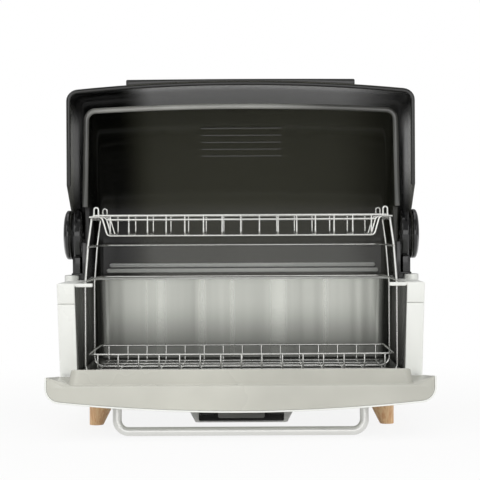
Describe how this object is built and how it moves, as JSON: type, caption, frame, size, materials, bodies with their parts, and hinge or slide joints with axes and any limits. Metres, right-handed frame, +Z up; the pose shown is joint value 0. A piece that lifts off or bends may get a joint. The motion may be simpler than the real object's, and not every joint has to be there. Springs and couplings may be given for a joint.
{
  "type": "electric dish dryer",
  "caption": "Counter-top electric dish dryer with a lift-up smoked lid, a fold-down front door, wire racks and wooden feet.",
  "frame": {"origin": "on the table, under the middle of the dryer's box with its lid and door open", "axes": "+X to the viewer's right, +Y towards the back, +Z up"},
  "size_m": [0.5126, 0.5144, 0.481],
  "materials": {
    "white_plastic": "glossy off-white",
    "liner_grey": "satin warm grey",
    "light_grey": "satin light grey",
    "smoked_plastic": "smoked see-through",
    "black_plastic": "glossy black",
    "steel": "plain",
    "tub_steel": "satin grey-green",
    "polished_wire": "polished stainless wire",
    "satin_aluminium": "satin",
    "oak": "oiled, upright grain",
    "circuit_board": "green board"
  },
  "bodies": {
    "housing": {"lower_housing": "white_plastic", "upper_frame": "white_plastic", "tub_liner": "tub_steel", "air_grille": "black_plastic", "rear_cover": "smoked_plastic", "cover_trim": "light_grey", "rear_sill": "light_grey", "left_hinge_bracket": "black_plastic", "right_hinge_bracket": "black_plastic", "left_lid_pin": "steel", "right_lid_pin": "steel", "left_hinge_washer": "black_plastic", "right_hinge_washer": "black_plastic", "left_door_lug": "black_plastic", "right_door_lug": "black_plastic", "left_door_pin": "steel", "right_door_pin": "steel", "front_left_foot": "oak", "front_right_foot": "oak", "back_left_foot": "oak", "back_right_foot": "oak", "front_left_foot_screw": "steel", "front_right_foot_screw": "steel", "back_left_foot_screw": "steel", "back_right_foot_screw": "steel", "control_pod": "light_grey", "control_panel": "black_plastic", "display_window": "smoked_plastic", "left_switch": "black_plastic", "right_switch": "black_plastic", "control_board": "circuit_board", "fan_motor": "steel", "fan_shroud": "black_plastic", "ptc_heater": "steel", "thermostat": "white_plastic", "power_inlet": "black_plastic"},
    "lid": {"lid_shell": "smoked_plastic", "lid_grip": "smoked_plastic", "left_hub_cap": "black_plastic", "right_hub_cap": "black_plastic"},
    "door": {"door_shell": "white_plastic", "door_liner": "liner_grey", "door_handle": "satin_aluminium", "left_handle_screw": "steel", "right_handle_screw": "steel"},
    "tray": {"drip_tray": "liner_grey"},
    "lower_rack": {"rack_frame": "polished_wire", "lower_basket": "polished_wire"},
    "upper_rack": {"upper_basket": "polished_wire"},
    "left_push_button": {"left_button": "black_plastic"},
    "right_push_button": {"right_button": "black_plastic"},
    "fan_wheel": {"impeller": "white_plastic"}
  },
  "joints": [
    {"name": "lid_hinge", "type": "hinge", "parent": "housing", "child": "lid", "pos_m": [0, 0.05719, 0.261], "axis": [1, 0, 0], "range_deg": [0, 90]},
    {"name": "door_hinge", "type": "hinge", "parent": "housing", "child": "door", "pos_m": [0, -0.12581, 0.066], "axis": [-1, 0, 0], "range_deg": [0, 86]},
    {"name": "tray_lift", "type": "slide", "parent": "housing", "child": "tray", "axis": [0, 0, 1], "range_m": [0, 0.02]},
    {"name": "lower_rack_lift", "type": "slide", "parent": "tray", "child": "lower_rack", "axis": [0, 0, 1], "range_m": [0, 0.03]},
    {"name": "upper_rack_lift", "type": "slide", "parent": "lower_rack", "child": "upper_rack", "axis": [0, 0, 1], "range_m": [0, 0.05]},
    {"name": "left_button_press", "type": "slide", "parent": "housing", "child": "left_push_button", "axis": [0, 0.9388, -0.3445], "range_m": [0, 0.0015], "stiffness_N_per_m": 400, "springref_m": -0.0005},
    {"name": "right_button_press", "type": "slide", "parent": "housing", "child": "right_push_button", "axis": [0, 0.9388, -0.3445], "range_m": [0, 0.0015], "stiffness_N_per_m": 400, "springref_m": -0.0005},
    {"name": "impeller_spin", "type": "hinge", "parent": "housing", "child": "fan_wheel", "pos_m": [0, 0.00019, 0.035], "axis": [0, 0, 1], "continuous": true}
  ]
}
